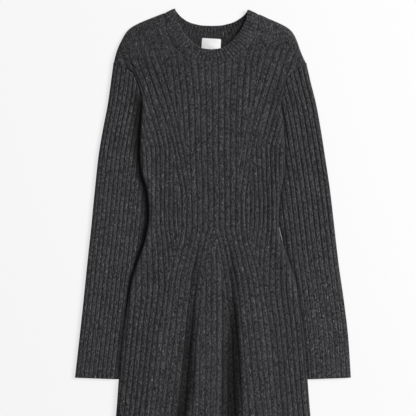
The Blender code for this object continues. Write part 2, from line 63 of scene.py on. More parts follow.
# Columns: y, x at the wearer's right, x at the wearer's left.
SHOULDER = (
    (441, -102.5, 80),
    (439, -108, 93),
    (429, -133.5, 116.5),
    (420, -155, 137.5),
    (411, -171.5, 154.5),
    (401, -182.5, 166),
    (386, -191.5, 174.5),
    (371, -199, 180),
    (356, -204.5, 185.5),
    (332, -210.5, 196.5),
)
ARMHOLE = (
    (332, -210.5, 196.5),
    (327, -194, 180),
    (322, -178, 171),
    (315, -169, 163),
    (304, -164, 155),
    (287, -158, 150),
    (266, -151, 147),
)
SIDE = (
    (266, -151, 147),
    (243, -150, 144),
    (211, -152, 148),
    (148, -154, 151),
    (110, -151, 150),
    (66, -139, 142),
    (22, -135, 138),
    (1, -136, 137.5),
    (-16, -139, 139.8),
    (-39, -144, 145.5),
    (-76, -157, 158),
    (-121, -171, 172),
    (-167, -179.5, 180.5),
    (-240, -191, 191.5),
    (-328, -198.8, 198.3),
    (-404, -204.5, 204.3),
    (-450, -209.5, 209.3),
)
SLEEVE_OUTER = (
    (332, -210.5, 196.5),
    (295, -215.5, 205),
    (249, -222, 216.5),
    (197, -232, 226),
    (140, -241.5, 235),
    (66, -249.5, 246),
    (-16, -257.5, 255.5),
    (-85, -265, 263.5),
    (-173, -274, 276),
    (-242, -281.5, 284),
    (-326, -291, 289.5),
)
# Columns: place along the sleeve, y at the outer edge, y at the inner edge, share of the bend.
SLEEVE_ROWS = (
    (0, 332, 266, 1.00),
    (10, 322, 256, 0.85),
    (27, 305, 243, 0.65),
    (48, 284, 228, 0.45),
    (74, 258, 210, 0.28),
    (106, 226, 190, 0.14),
    (142, 190, 166, 0.05),
    (180, 152, 140, 0.0),
    (222, 110, 106, 0.0),
    (266, 66, 66, 0.0),
    (SLEEVE_LENGTH, -325, -328.5, 0.0),
)
# Columns: y, wedge edge, princess line, dart line, inset line, side line, pitch of the yoke,
# lens, side and wedge ribs. All are distances from the centre line.
RIB_LINES = (
    (440, 0, 92, 145, 176, 209.7, 13.4, 14.7, 14.7, 11.6),
    (341, 0, 59, 112, 140, 169.3, 13.2, 14.3, 14.3, 11.6),
    (257, 0, 51, 86, 112, 138.6, 12.6, 11.6, 11.6, 11.6),
    (194, 0, 49, 71, 92, 120.5, 10.9, 10.5, 10.5, 11.6),
    (152, 0, 48, 63, 81, 110.7, 10.5, 9.7, 9.7, 11.6),
    (110, 0, 47.5, 56, 75, 111.2, 10.5, 9.2, 9.2, 11.6),
    (37, 0, 46, 46, 67, 113, 10.5, 9.0, 9.0, 11.6),
    (-7, 0, 46, 46, 68, 112.2, 10.5, 9.2, 9.6, 11.6),
    (-37, 9, 50, 50, 71, 108.4, 10.5, 9.6, 11.0, 11.3),
    (-83, 18, 60, 60, 85, 105, 10.5, 10.1, 11.8, 11.3),
    (-121, 24, 70, 70, 93, 104, 10.5, 11.3, 11.9, 11.3),
    (-226, 36, 82, 82, 105, 117, 10.5, 11.3, 11.1, 11.8),
    (-331, 42, 95, 95, 116, 127, 10.5, 11.3, 10.9, 12.0),
    (-450, 48, 109, 109, 129, 139, 10.5, 11.3, 10.9, 12.2),
)
WEDGE_TOP_Y, LENS_TOP_Y = -8, 198
CENTRE = ((440, -4), (337, -4), (257, -2), (152, -1), (37, 1), (-37, 1), (-226, 2), (-450, 0))
# Neckband, one half from the shoulder to the middle, measured from the middle of the neck.
# Columns: x and y of the neckline edge, x and y of the seam.
BAND_FRONT = (
    (75.2, 446.9, 96.5, 439.6),
    (73, 431, 97, 424),
    (67, 417, 95, 407),
    (60, 404, 89, 391),
    (52, 393, 80, 376),
    (42, 382, 68, 362),
    (31, 373, 51, 350),
    (17, 366, 28, 341),
    (0, 364, 0, 338),
)
BAND_BACK = (
    (75.2, 446.9, 96.5, 439.6),
    (68, 437.5, 89, 419),
    (59, 429.5, 76, 406),
    (48, 422.5, 60, 397),
    (34, 418, 42, 392),
    (18, 415, 22, 389),
    (0, 414.2, 0, 388),
)

# Folds of the skirt. Columns: y, then x of the right side's swell, right plateau, foot of its
# slope, right trough, edge, inside and far side of the centre panel, near and far side of the left
# trough, left fold edge, its inside and the left plateau.
FOLD_X = (
    (-40, -105, -66, -52, -40, -24, -8, 10, 20, 30, 44, 58, 76),
    (-68, -108, -70, -54, -40, -24, -8, 10, 20, 32, 50, 66, 90),
    (-110, -118, -80, -60, -46, -27, -8, 8, 18, 32, 58, 78, 106),
    (-152, -128, -92, -68, -50, -27, -8, 10, 20, 33, 58, 80, 114),
    (-204, -138, -104, -76, -55, -27, -8, 9, 20, 36, 60, 86, 122),
    (-267, -146, -114, -84, -60, -33, -9, 8, 19, 34, 62, 92, 130),
    (-330, -153, -122, -92, -65, -34, -10, 7, 18, 31, 65, 100, 140),
    (-389, -166, -134, -103, -74, -43, -14, 5, 15, 27, 65, 105, 148),
    (-450, -178, -148, -117, -88, -56, -20, 2, 12, 24, 66, 110, 154),
)
# Columns: y, then how far each of those lines lies above or below the flat front.
FOLD_RISE = (
    (-40, 0.0, 0.0, 0.0, 0.0, 0.0, 0.0, 0.0, 0.0, 0.0, 0.0, 0.0, 0.0),
    (-68, 0.2, 0.8, 0.2, -0.8, 1.6, 1.4, 0.8, -0.2, -0.9, 1.8, 1.8, 0.8),
    (-110, 0.3, 1.4, 0.2, -1.0, 2.6, 2.4, 1.5, -1.0, -1.6, 3.2, 3.2, 1.6),
    (-152, 0.4, 1.8, 0.3, -1.4, 3.2, 3.0, 1.6, -1.2, -1.8, 4.2, 4.1, 2.2),
    (-204, 0.6, 2.4, 0.6, -2.0, 6.0, 5.2, 2.8, -1.6, -2.2, 8.2, 7.8, 3.6),
    (-267, 0.8, 3.0, 0.8, -2.4, 9.0, 7.2, 3.4, -2.2, -2.4, 11.5, 10.4, 4.6),
    (-330, 0.9, 3.3, 0.8, -2.4, 10.2, 8.0, 3.8, -2.4, -2.4, 13.5, 12.0, 5.6),
    (-450, 1.0, 3.6, 0.8, -2.4, 11.5, 9.0, 4.2, -2.4, -2.4, 15.0, 13.2, 6.4),
)

# Fashioning marks, where stitches were dropped beside each armhole: their line, and their depth.
MARKS = (
    (((-188, 345), (-173, 334), (-158, 318)), 1.0),
    (((166, 336), (154, 325), (141, 305)), 0.6),
)
# A low swell along each side of the waist: hand, height and distance from the edge.
SIDE_SWELLS = ((0, 3.6, 5), (1, 2.0, 13))
# How the cuff turns in on itself and the inside runs back up the sleeve. Columns: the row of the
# sleeve that it follows, its step up from there, and how far it lies inside.
CUFF_INSET, CUFF_GAP = 2.3, 0.08
CUFF_TURN = (
    (-1, -0.9, 0.4),
    (-1, -1.2, 1.1),
    (-1, -0.7, 1.9),
    (-1, 1.5, CUFF_INSET),
    (-1, 14.0, CUFF_INSET),
    *((row, 0, CUFF_INSET) for row in (-20, -60, -100, -130, -150, -165, -175, -182, -188)),
    (0, 0, 1.5),
)
# The seam allowance of the sleeve head: its step up under the body, and its greatest height.
HEAD_TURN = ((3.6, 3.4), (1.8, 3.9))

# --- Heights of the cloth ---------------------------------------------------------------------

FRONT_TOP = 7.0
WALL = 2.4
LAYER_Z, LAYER_GAP = 2.75, 0.1  # where the front meets the back at a folded edge
EDGE_ROUND = 9.0
UNDER_ROUND = 6.0  # how far in from a folded edge the underside meets the floor
HEM_ROUND = 2.4
RIB_RISE, RIB_SINK = 1.2, 0.5  # rib top above and rib valley below the flat front
NOTCH = 4.4  # half of the width of a rib valley, at most
MARK_DEPTH, MARK_WIDTH = 0.9, 2.0
SEAM_Z, SEAM_WIDTH = 4.3, 4.0  # bottom and half width of the armhole seam
NECK_SEAM_Z = 3.9
BACK_TOP, BACK_MID, BACK_CUT_Z = 2.65, 1.3, 1.4
BACK_RIB, BACK_NOTCH = 0.9, 1.3  # depth of the ribs on the inside and on the underside
SLEEVE_TOP, SLEEVE_RISE, SLEEVE_MID, SLEEVE_SEAM_Z = 5.5, 0.9, 2.9, 4.2
SLEEVE_ROUND, SLEEVE_SLOPE = 10.0, 17.0
BAND_MID, BAND_TURN = 3.9, 2.45  # middle height of the ring, and each half's distance from it
BAND_PITCH, BAND_STEP = 7.2, 0.62
BAND_OVERLAP = 0.6  # how far the band reaches over its seam
BAND_OUTER, BAND_INNER = 1.35, 1.3  # half of its thickness in a valley, on each side
BAND_RISE, BAND_INNER_RISE = 0.95, 0.3
# The label's width, length and thickness, its middle, and its slope.
LABEL_SIZE, LABEL_AT, LABEL_TILT = (40.0, 28.5, 0.7), (-4.5, 372.8, 3.35), -0.06


def smooth(low, high, value):
    """0 below low, 1 above high, and an S curve between."""
    t = np.clip((np.asarray(value, float) - low) / (high - low), 0, 1)
    return t * t * (3 - 2 * t)


def curve(table, column):
    """A smooth curve through one column of a table, with no overshoot, as a function of y."""
    rows = sorted((row[0], row[column]) for row in table)
    ys, values = np.array(rows, float).T
    slope = np.diff(values) / np.diff(ys)
    before, after = slope[:-1], slope[1:]
    total = np.where(before + after == 0, 1.0, before + after)
    inner = np.where(before * after > 0, 2 * before * after / total, 0.0)
    tangent = np.concatenate([slope[:1], inner, slope[-1:]])

    def value(y):
        y = np.clip(y, ys[0], ys[-1])
        k = np.clip(np.searchsorted(ys, y, side="right") - 1, 0, len(ys) - 2)
        step = ys[k + 1] - ys[k]
        t = (y - ys[k]) / step
        start = (1 + 2 * t) * (1 - t) ** 2 * values[k] + t * (1 - t) ** 2 * step * tangent[k]
        end = t * t * (3 - 2 * t) * values[k + 1] + t * t * (t - 1) * step * tangent[k + 1]
        return start + end

    return value


def straight(table, column):
    rows = sorted((row[0], row[column]) for row in table)
    ys, values = np.array(rows, float).T
    return lambda y: np.interp(y, ys, values)


def waves(x, y, reach, seed):
    """Soft unevenness from -1 to 1, with features about reach across."""
    turn = seed * 1.7
    found = np.sin(x / reach * 1.9 + turn) * np.cos(y / reach * 1.3 - 2 * turn)
    found = found + np.sin((x + 0.6 * y) / reach * 1.1 + 3 * turn)
    found = found + np.sin((0.5 * x - y) / reach * 0.9 + 5 * turn)
    return found / 3


shoulder_edge = [curve(SHOULDER, column) for column in (1, 2)]
arm_edge = [straight(ARMHOLE, column) for column in (1, 2)]
side_edge = [curve(SIDE, column) for column in (1, 2)]
sleeve_edge = [curve(SLEEVE_OUTER, column) for column in (1, 2)]
centre_x = curve(CENTRE, 1)
rib_line = [curve(RIB_LINES, column) for column in range(1, len(RIB_LINES[0]))]
fold_x = [curve(FOLD_X, column) for column in range(1, len(FOLD_X[0]))]
fold_rise = [curve(FOLD_RISE, column) for column in range(1, len(FOLD_RISE[0]))]


def body_edge(y, hand):
    """x of the body's edge; hand is 0 for the wearer's right and 1 for the left."""
    low = np.where(y >= ARMHOLE[-1][0], arm_edge[hand](y), side_edge[hand](y))
    return np.where(y >= ARMHOLE[0][0], shoulder_edge[hand](y), low)


def line_of(part, y_from, y_to, count):
    ys = np.linspace(y_from, y_to, count)
    return np.column_stack([part(ys), ys])


FOLDED_EDGES = [line_of(part, 441, 332, 40) for part in shoulder_edge]
FOLDED_EDGES += [line_of(part, 266, HEM_Y, 90) for part in side_edge]
ARM_SEAMS = [line_of(part, 332, 266, 45) for part in arm_edge]


def distance(x, y, lines, reach=30.0):
    """From each point to the nearest of some lines, at most reach."""
    found = np.full(x.shape, reach)
    for line in lines:
        low, high = line.min(axis=0) - reach, line.max(axis=0) + reach
        near = (x > low[0]) & (x < high[0]) & (y > low[1]) & (y < high[1])
        px, py = x[near][:, None], y[near][:, None]
        if not px.size:
            continue
        run = np.diff(line, axis=0)
        along = (px - line[:-1, 0]) * run[:, 0] + (py - line[:-1, 1]) * run[:, 1]
        along = np.clip(along / (run * run).sum(axis=1), 0, 1)
        dx = px - line[:-1, 0] - along * run[:, 0]
        dy = py - line[:-1, 1] - along * run[:, 1]
        found[near] = np.minimum(found[near], np.sqrt((dx * dx + dy * dy).min(axis=1)))
    return found


def round_up(away, width):
    """0 at an edge, rising like a quarter circle to 1 at width."""
    t = np.clip(away / width, 0, 1)
    return np.sqrt(1 - (1 - t) ** 2)


def band_half(table):
    """Half of the neckband: its length and its edge x, edge y, seam x, seam y along it."""
    rows = np.array(table, float)
    middle = (rows[:, :2] + rows[:, 2:]) / 2
    along = np.concatenate([[0], np.cumsum(np.hypot(*np.diff(middle, axis=0).T))])
    keyed = [(s, *row) for s, row in zip(along, rows)]
    return along[-1], [curve(keyed, column) for column in range(1, 5)]


def left_dip(x):
    """How much lower the left tip of the neck lies than the right one."""
    return 2.0 * smooth(50, 78, x - NECK_X)


def neck_line(table, share):
    """A line round the neck, from the right shoulder to the left: the seam at share 0, and the
    neckline edge at share 1."""
    length, lines = band_half(table)
    s = np.linspace(0, length, 60)
    edge_x, edge_y, seam_x, seam_y = (line(s) for line in lines)
    half = np.column_stack([seam_x + (edge_x - seam_x) * share, seam_y + (edge_y - seam_y) * share])
    line = np.vstack([half * (-1, 1), half[-2::-1]]) + (NECK_X, 0)
    line[:, 1] -= left_dip(line[:, 0])
    return line


def past_seam(x, y, seam):
    """Signed distance from the neck seam: negative inside the neckline."""
    away = distance(x, y, [seam])
    left = seam[len(seam) // 2 :]
    order = np.argsort(left[:, 1], kind="stable")
    half = np.interp(y, left[order, 1], left[order, 0] - NECK_X)
    inside = (y > left[:, 1].min()) & (np.abs(x - NECK_X) < half)
    return np.where(inside, -away, away)


def ribs_at(y):
    """Distance from the centre line, depth and number of each rib valley of one half at y."""
    wedge, princess, dart, inset, side, yoke, lens, side_pitch, wedge_pitch = (
        float(line(y)) for line in rib_line
    )
    if y > WEDGE_TOP_Y:
        wedge = 0.0
    found = []
    for j in range(6):
        at = (j + 0.5) * wedge_pitch
        found.append((at, wedge - at - LEAST_RIB, 10 + j))
    for j in range(5):
        found.append((wedge + (princess - wedge) * j / 4, 9.0, 20 + j))
    for j in range(1, 6):
        at = princess + j * yoke
        found.append((at, dart - at - LEAST_RIB, 30 + j))
    found.append((dart, dart - princess - LEAST_RIB, 40))
    found.append(((dart + inset) / 2, 9.0, 41))
    found.append((inset, 9.0, 42))
    for j in range(1, 6):
        at = side - j * lens
        room = 9.0 if j == 1 else (LENS_TOP_Y - y) / 3
        found.append((at, min(at - inset - LEAST_RIB, room), 50 + j))
    for j in range(12):
        found.append((side + j * side_pitch, 9.0, 60 + j))
    return [(at, float(smooth(-1, 4, room)), number) for at, room, number in found if room > -1]


def rib_shape(d_left, d_right, depth_left, depth_right):
    """Height of a rib from 0 in a valley to 1 on top, and its place q from valley to middle."""
    width = np.maximum(d_left + d_right, 1e-6)
    reach = np.minimum(width / 2, NOTCH)
    height, q = 1.0, 1.0
    for d, depth in ((d_left, depth_left), (d_right, depth_right)):
        height = np.minimum(height, 1 - depth * (1 - np.clip(d / reach, 0, 1)) ** 2.3)
        q = np.minimum(q, 1 - depth * (1 - np.clip(2 * d / width, 0, 1)))
    return height, q


def body_ribs(x, y):
    """Rib height and q at each point. Every row of x has one y."""
    height, q = np.empty(x.shape), np.empty(x.shape)
    for row, level in enumerate(y[:, 0]):
        valleys = []
        for way in (-1, 1):
            for at, depth, number in ribs_at(level):
                sway = 0.45 * math.sin(level / 31 + number * 1.7 + way)
                sway += 0.3 * math.sin(level / 13 + number * 2.9)
                valleys.append((float(centre_x(level)) + way * at + (sway if at else 0), depth))
        valleys = np.array(sorted(valleys))
        at, depth = valleys.T
        start = 337 + 13 * np.sign(at)
        depth = depth * (1 - 0.35 * smooth(start, start + 55, level))
        depth = depth * (1 - 0.06 * smooth(60, 40, np.abs(at)) * smooth(262, 300, level))
        k = np.clip(np.searchsorted(at, x[row]), 1, len(at) - 1)
        shape = rib_shape(
            np.abs(x[row] - at[k - 1]), np.abs(at[k] - x[row]), depth[k - 1], depth[k]
        )
        height[row], q[row] = shape
    return height, q


def fold_height(x, y):
    """How far the skirt's folds lift the front. Every row of x has one y."""
    found = np.zeros(x.shape)
    for row, level in enumerate(y[:, 0]):
        if level > FOLD_RISE[0][0]:
            continue
        xs = [body_edge(level, 0)] + [line(level) for line in fold_x] + [body_edge(level, 1)]
        rise = [0.0] + [line(level) for line in fold_rise] + [0.0]
        xs, rise = np.array(xs, float), np.array(rise, float)
        k = np.clip(np.searchsorted(xs, x[row]) - 1, 0, len(xs) - 2)
        t = np.clip((x[row] - xs[k]) / (xs[k + 1] - xs[k]), 0, 1)
        found[row] = rise[k] + (rise[k + 1] - rise[k]) * t * t * (3 - 2 * t)
    return found


def shelter(x, y):
    """How much light reaches each point of the skirt past the fold beside it, from 0 to 1."""
    own = fold_height(x, y)
    angle = np.zeros(x.shape)
    for reach in (7, 14, 21, 30, 40, 52, -8, -18):
        weight = 1.0 if reach > 0 else 0.5
        angle = np.maximum(angle, weight * (fold_height(x + reach, y) - own) / abs(reach))
    # Painted shade: the left trough is dark right across.
    far, near, out = (fold_x[column](y) for column in (6, 7, 8))
    hollow = smooth(far + 4, near, x) * (1 - smooth(out - 2, out + 4, x)) * smooth(-60, -110, y)
    return (1 - 0.43 * smooth(0.06, 0.62, angle)) * (1 - 0.15 * hollow)


# --- Meshes -----------------------------------------------------------------------------------


def join(mesh, kept=None, cut=None, cut_z=0.0):
    """Joins the two sides of a wrapped grid. The points that kept leaves out go, and the edge that
    they leave is drawn to the line cut."""
    work = bmesh.new()
    work.from_mesh(mesh)
    if kept is not None:
        work.verts.ensure_lookup_table()
        gone = [work.verts[i] for i in np.flatnonzero(~kept)]
        bmesh.ops.delete(work, geom=gone, context="VERTS")
        start, run = cut[:-1], np.diff(cut, axis=0)
        for vert in work.verts:
            if not vert.is_boundary or vert.co.y < cut[:, 1].min() * MM - 0.006:
                continue
            at = np.array(vert.co[:2]) / MM
            along = np.clip(((at - start) * run).sum(axis=1) / (run * run).sum(axis=1), 0, 1)
            foot = start + along[:, None] * run
            away = np.hypot(*(foot - at).T)
            if away.min() < 7:
                x, y = foot[away.argmin()]
                vert.co = (x * MM, y * MM, cut_z * MM)
    bmesh.ops.remove_doubles(work, verts=work.verts, dist=2e-6)
    bmesh.ops.dissolve_degenerate(work, edges=work.edges, dist=1e-6)
    rim = [edge for edge in work.edges if edge.is_boundary]
    bmesh.ops.holes_fill(work, edges=rim, sides=14)
    work.to_mesh(mesh)
    work.free()


def cloth_grid(name, points, rib, shade=None, flip=False, kept=None, cut=None, cut_z=0.0):
    """A grid of cloth from points[row, column] in millimetres. As UV, rib is (q, place along);
    shade is how much light reaches a sheltered place."""
    rows, columns = points.shape[:2]
    work = bmesh.new()
    bmesh.ops.create_grid(work, x_segments=columns - 1, y_segments=rows - 1, size=0.5)
    mesh = bpy.data.meshes.new(name)
    work.to_mesh(mesh)
    work.free()
    flat = np.empty(len(mesh.vertices) * 3)
    mesh.vertices.foreach_get("co", flat)
    flat = flat.reshape(-1, 3) + 0.5
    column = np.rint(flat[:, 0] * (columns - 1)).astype(int)
    row = np.rint(flat[:, 1] * (rows - 1)).astype(int)
    mesh.vertices.foreach_set("co", (points[row, column] * MM).ravel())
    corner = np.empty(len(mesh.loops), int)
    mesh.loops.foreach_get("vertex_index", corner)
    layer = mesh.uv_layers.new(name="Rib")
    layer.data.foreach_set("uv", rib[row, column][corner].ravel())
    light = mesh.attributes.new("Shade", "FLOAT", "POINT")
    if shade is None:
        shade = np.ones(points.shape[:2])
    light.data.foreach_set("value", shade[row, column])
    join(mesh, None if kept is None else kept[row, column], cut, cut_z)
    if flip:
        mesh.flip_normals()
    mesh.shade_smooth()
    obj = bpy.data.objects.new(name, mesh)
    bpy.context.scene.collection.objects.link(obj)
    return obj


def wrap(outer, inner):
    """Rows right round a wall: along the outer face and back along the inner one."""
    return np.hstack([outer, inner[:, 1:-1], outer[:, :1]])


def way_back(x, columns):
    """Which columns of x the inner face of a wall follows, from the far edge."""
    return np.linspace(0, x.shape[1] - 1, columns).astype(int)[::-1]


def panel_rows():
    """y of the rows of a panel, closest where its width changes most."""
    upper = np.arange(PANEL_TOP_Y, 334, -2.4)
    armhole = np.arange(333.5, 313, -0.7)
    lower = np.linspace(armhole[-1] - 2.0, HEM_Y, 208)
    return np.concatenate([upper, armhole, lower])


def panel_grid(ys, columns):
    """x and y of a panel's points, with closer columns at the edges, where the cloth turns down."""
    s = np.linspace(0, 1, columns)
    s = s - 0.48 * np.sin(2 * np.pi * s) / (2 * np.pi)
    x0, x1 = body_edge(ys, 0), body_edge(ys, 1)
    x = x0[:, None] + (x1 - x0)[:, None] * s
    return x, np.repeat(ys[:, None], columns, axis=1)


def hem_turn(y):
    """1 through the skirt and 0 at the very hem, where the two faces of the cloth meet."""
    return round_up(y - HEM_Y, HEM_ROUND)


def fashioning(x, y):
    """1 in the middle of a fashioning mark and 0 away from it."""
    found = np.zeros(x.shape)
    for line, depth in MARKS:
        away = distance(x, y, [np.array(line, float)], 6 * MARK_WIDTH)
        found = found + depth * np.exp(-((away / MARK_WIDTH) ** 2))
    return found * (0.9 + 0.1 * waves(x, y, 7, 4))


def front_surface(x, y):
    """Outer z and q of the front."""
    ribs, q = body_ribs(x, y)
    # The right side of the waist turns down steeply, and the shoulders gently, except for their
    # tops beside the neck.
    steep = smooth(-240, -140, y) * smooth(290, 250, y) * (x < 0)
    wide = EDGE_ROUND - 5.5 * steep + 17.0 * smooth(342, 400, y) - 14.0 * smooth(415, 434, y)
    inside = round_up(distance(x, y, FOLDED_EDGES), wide)
    folds = fold_height(x, y)
    span = smooth(-230, -110, y) * smooth(290, 235, y)
    for hand, high, crest in SIDE_SWELLS:
        from_side = np.abs(x - body_edge(y, hand))
        folds = folds + high * np.exp(-(((from_side - crest) / 13) ** 2)) * span
    z = FRONT_TOP + folds + 0.35 * waves(x, y, 60, 1) + 0.2 * waves(x, y, 23, 2)
    z = z + (RIB_RISE + RIB_SINK) * ribs * (0.35 + 0.65 * inside) - RIB_SINK
    z = z - MARK_DEPTH * fashioning(x, y)
    z = LAYER_Z + (z - LAYER_Z) * inside
    # The armhole seam fades towards the shoulder, and so does the neck seam.
    arm = smooth(-1.0, SEAM_WIDTH, distance(x, y, ARM_SEAMS))
    arm = 1 - (1 - arm) * (0.1 + 0.9 * smooth(328, 314, y))
    z = SEAM_Z + (z - SEAM_Z) * np.where(z > SEAM_Z, arm, 1)
    past = past_seam(x, y, FRONT_SEAM)
    dip = 0.5 * smooth(430, 405, y)
    neck = 1 - dip * (1 - smooth(-1.5, SEAM_WIDTH, past))
    return NECK_SEAM_Z + (z - NECK_SEAM_Z) * np.where(z > NECK_SEAM_Z, neck, 1), q


FRONT_SEAM = neck_line(BAND_FRONT, 0)
FRONT_CUT, BACK_CUT = neck_line(BAND_FRONT, 0.2), neck_line(BAND_BACK, 0.2)


def front_light(x, y):
    """How much light the front gets: it is less in folds and seams and where it turns away."""
    # Painted shade darkens the body's left edge where it meets the sleeve, so it has no bright rim.
    rim = np.exp(-(((x - body_edge(y, 1)) / 5) ** 2)) * smooth(-330, -300, y) * smooth(290, 250, y)
    # The shoulders turn away from the light, the right one more.
    light = shelter(x, y) * (1 - (0.14 - 0.06 * np.sign(x)) * smooth(290, 370, y))
    # Painted shade in the fashioning marks, as well as at the rim.
    light = light * (1 - 0.5 * rim) * (1 - 0.62 * fashioning(x, y))
    # Painted shade: the centre panel between the folds, the left of the skirt and the left bust are
    # darker.
    panel = smooth(-4, 4, x - fold_x[5](y)) * smooth(8, -2, x - fold_x[6](y))
    light = light * (1 - 0.12 * panel * smooth(-60, -120, y))
    light = light * (1 - 0.1 * smooth(100, 150, x) * smooth(-100, -280, y))
    light = light * (1 - 0.2 * np.exp(-(((x - 142) / 18) ** 2) - ((y - 262) / 35) ** 2))
    # The right hip faces the light.
    swell = np.exp(-(((x + 115) / 35) ** 2)) * smooth(-90, -150, y) * smooth(-420, -320, y)
    return light * (1 + 0.1 * swell)


def front():
    x, y = panel_grid(panel_rows(), FRONT_LINES[0])
    z, q = front_surface(x, y)
    few = way_back(x, FRONT_LINES[1])
    under = np.maximum(z[:, few] - WALL, LAYER_Z + LAYER_GAP)
    under = np.minimum(under, z[:, few])
    turn = hem_turn(y)
    middle = z - WALL / 2
    z = middle + (z - middle) * turn
    under = middle[:, few] + (under - middle[:, few]) * turn[:, few]
    points = np.dstack([wrap(x, x[:, few]), wrap(y, y[:, few]), wrap(z, under)])
    rib = np.dstack([wrap(q, q[:, few]), points[:, :, 1]])
    past = past_seam(x, y, FRONT_CUT)
    kept = wrap(past, past[:, few]) > -0.5
    light = front_light(x, y)
    shade = wrap(light, light[:, few])
    return cloth_grid(
        "front_knit", points, rib, shade, kept=kept, cut=FRONT_CUT, cut_z=NECK_SEAM_Z
    )


def back():
    x, y = panel_grid(panel_rows(), BACK_LINES[0])
    ribs, q = body_ribs(x, y)
    away = distance(x, y, FOLDED_EDGES)
    lift = (LAYER_Z - LAYER_GAP) * (1 - round_up(away, UNDER_ROUND))
    low = lift + BACK_NOTCH * (1 - ribs) * smooth(0, UNDER_ROUND, away)
    turn = hem_turn(y)
    low = BACK_MID + (low - BACK_MID) * turn
    few = way_back(x, BACK_LINES[1])
    high = BACK_TOP - BACK_RIB + BACK_RIB * ribs[:, few]
    high = BACK_MID + (high - BACK_MID) * turn[:, few]
    points = np.dstack([wrap(x, x[:, few]), wrap(y, y[:, few]), wrap(low, high)])
    rib = np.dstack([wrap(q, q[:, few]), points[:, :, 1]])
    past = past_seam(x, y, BACK_CUT)
    kept = wrap(past, past[:, few]) > -0.5
    # The inside of the back lies in the shadow of the neckband.
    shade = np.ones(points.shape[:2])
    shade[:, x.shape[1] :] = 0.46
    return cloth_grid("back_knit", points, rib, shade, True, kept, BACK_CUT, BACK_CUT_Z)


def sleeve_lines(hand, along):
    """x, y and the bend share of points across a sleeve, one row for each place along it."""
    way = (-1, 1)[hand]
    y_out, y_in, bend = (curve(SLEEVE_ROWS, column)(along) for column in (1, 2, 3))
    gap = -SLEEVE_UNDER * smooth(0, 30, along)
    if hand == 1:
        gap = gap + OPEN_GAP * (1 - np.clip(np.abs(y_in - OPEN_GAP_Y) / OPEN_GAP_HALF, 0, 1) ** 4)
    x_out = sleeve_edge[hand](y_out)
    x_in = body_edge(y_in, hand) + way * gap
    s = np.linspace(0, 1, SLEEVE_LINES[0])
    seam_y, seam_x = np.array([(row[0], row[1 + hand]) for row in ARMHOLE], float).T
    seam_s = (seam_x - seam_x[0]) / (seam_x[-1] - seam_x[0])
    sag = np.interp(s, seam_s, seam_y) - ARMHOLE_GAP - (seam_y[0] + (seam_y[-1] - seam_y[0]) * s)
    x = x_out[:, None] + (x_in - x_out)[:, None] * s
    y = y_out[:, None] + (y_in - y_out)[:, None] * s + bend[:, None] * sag
    return x, y, np.repeat(bend[:, None], len(s), axis=1)


def sleeve_ribs(hand, along, from_outer, to_inner):
    """Height and q of a sleeve's ribs, which follow its outer edge and fade towards the cuff."""
    pitch = SLEEVE_PITCH[hand]
    number = np.floor(from_outer / pitch)
    sway = 0.4 * np.sin(along[:, None] / 33 + number * 1.9) * (number > 0)
    d_left = np.abs(from_outer - number * pitch + sway * 0.5)
    d_right = np.maximum(pitch - d_left, 0)
    soft = 1 - (0.06, 0.22)[hand] * smooth((40, 330)[hand], (320, 500)[hand], along)[:, None]
    depth_left = np.where(number > 0, soft, 0.0)
    depth_right = smooth(3, 6, to_inner) * soft
    return rib_shape(d_left, d_right, depth_left, depth_right)


def sleeve_light(hand, x, y):
    """How much light a sleeve gets past the side of the body, which shelters it, most of all under
    the right arm. Pairs are for the right and the left sleeve."""
    deep = (0.87, 0.42)[hand] * (0.8 + 0.2 * smooth(-120, -60, y)) * smooth(300, 240, y)
    deep = deep * (1 - hand * (0.3 * smooth(-10, 20, y) + 0.5 * smooth(-110, -180, y)))
    if hand == 0:
        reach = 0.55 + 0.45 * smooth(-100, -20, y) + 0.22 * smooth(120, 190, y)
    else:
        reach = 0.5 + 0.5 * smooth(-130, -90, y) * smooth(0, -30, y)
    away = np.abs(x - body_edge(y, hand)) / reach
    light = 1 - deep * (1 - smooth((7, 3)[hand], (19, 12)[hand], away))
    # Painted light: the right sleeve is lighter further down, and the left one darker near the
    # shoulder and lighter towards the cuff.
    open_light = (0.12 * smooth(280, 200, y), 0.13 * smooth(200, -320, y) - 0.05)[hand]
    return light * (1 + open_light)


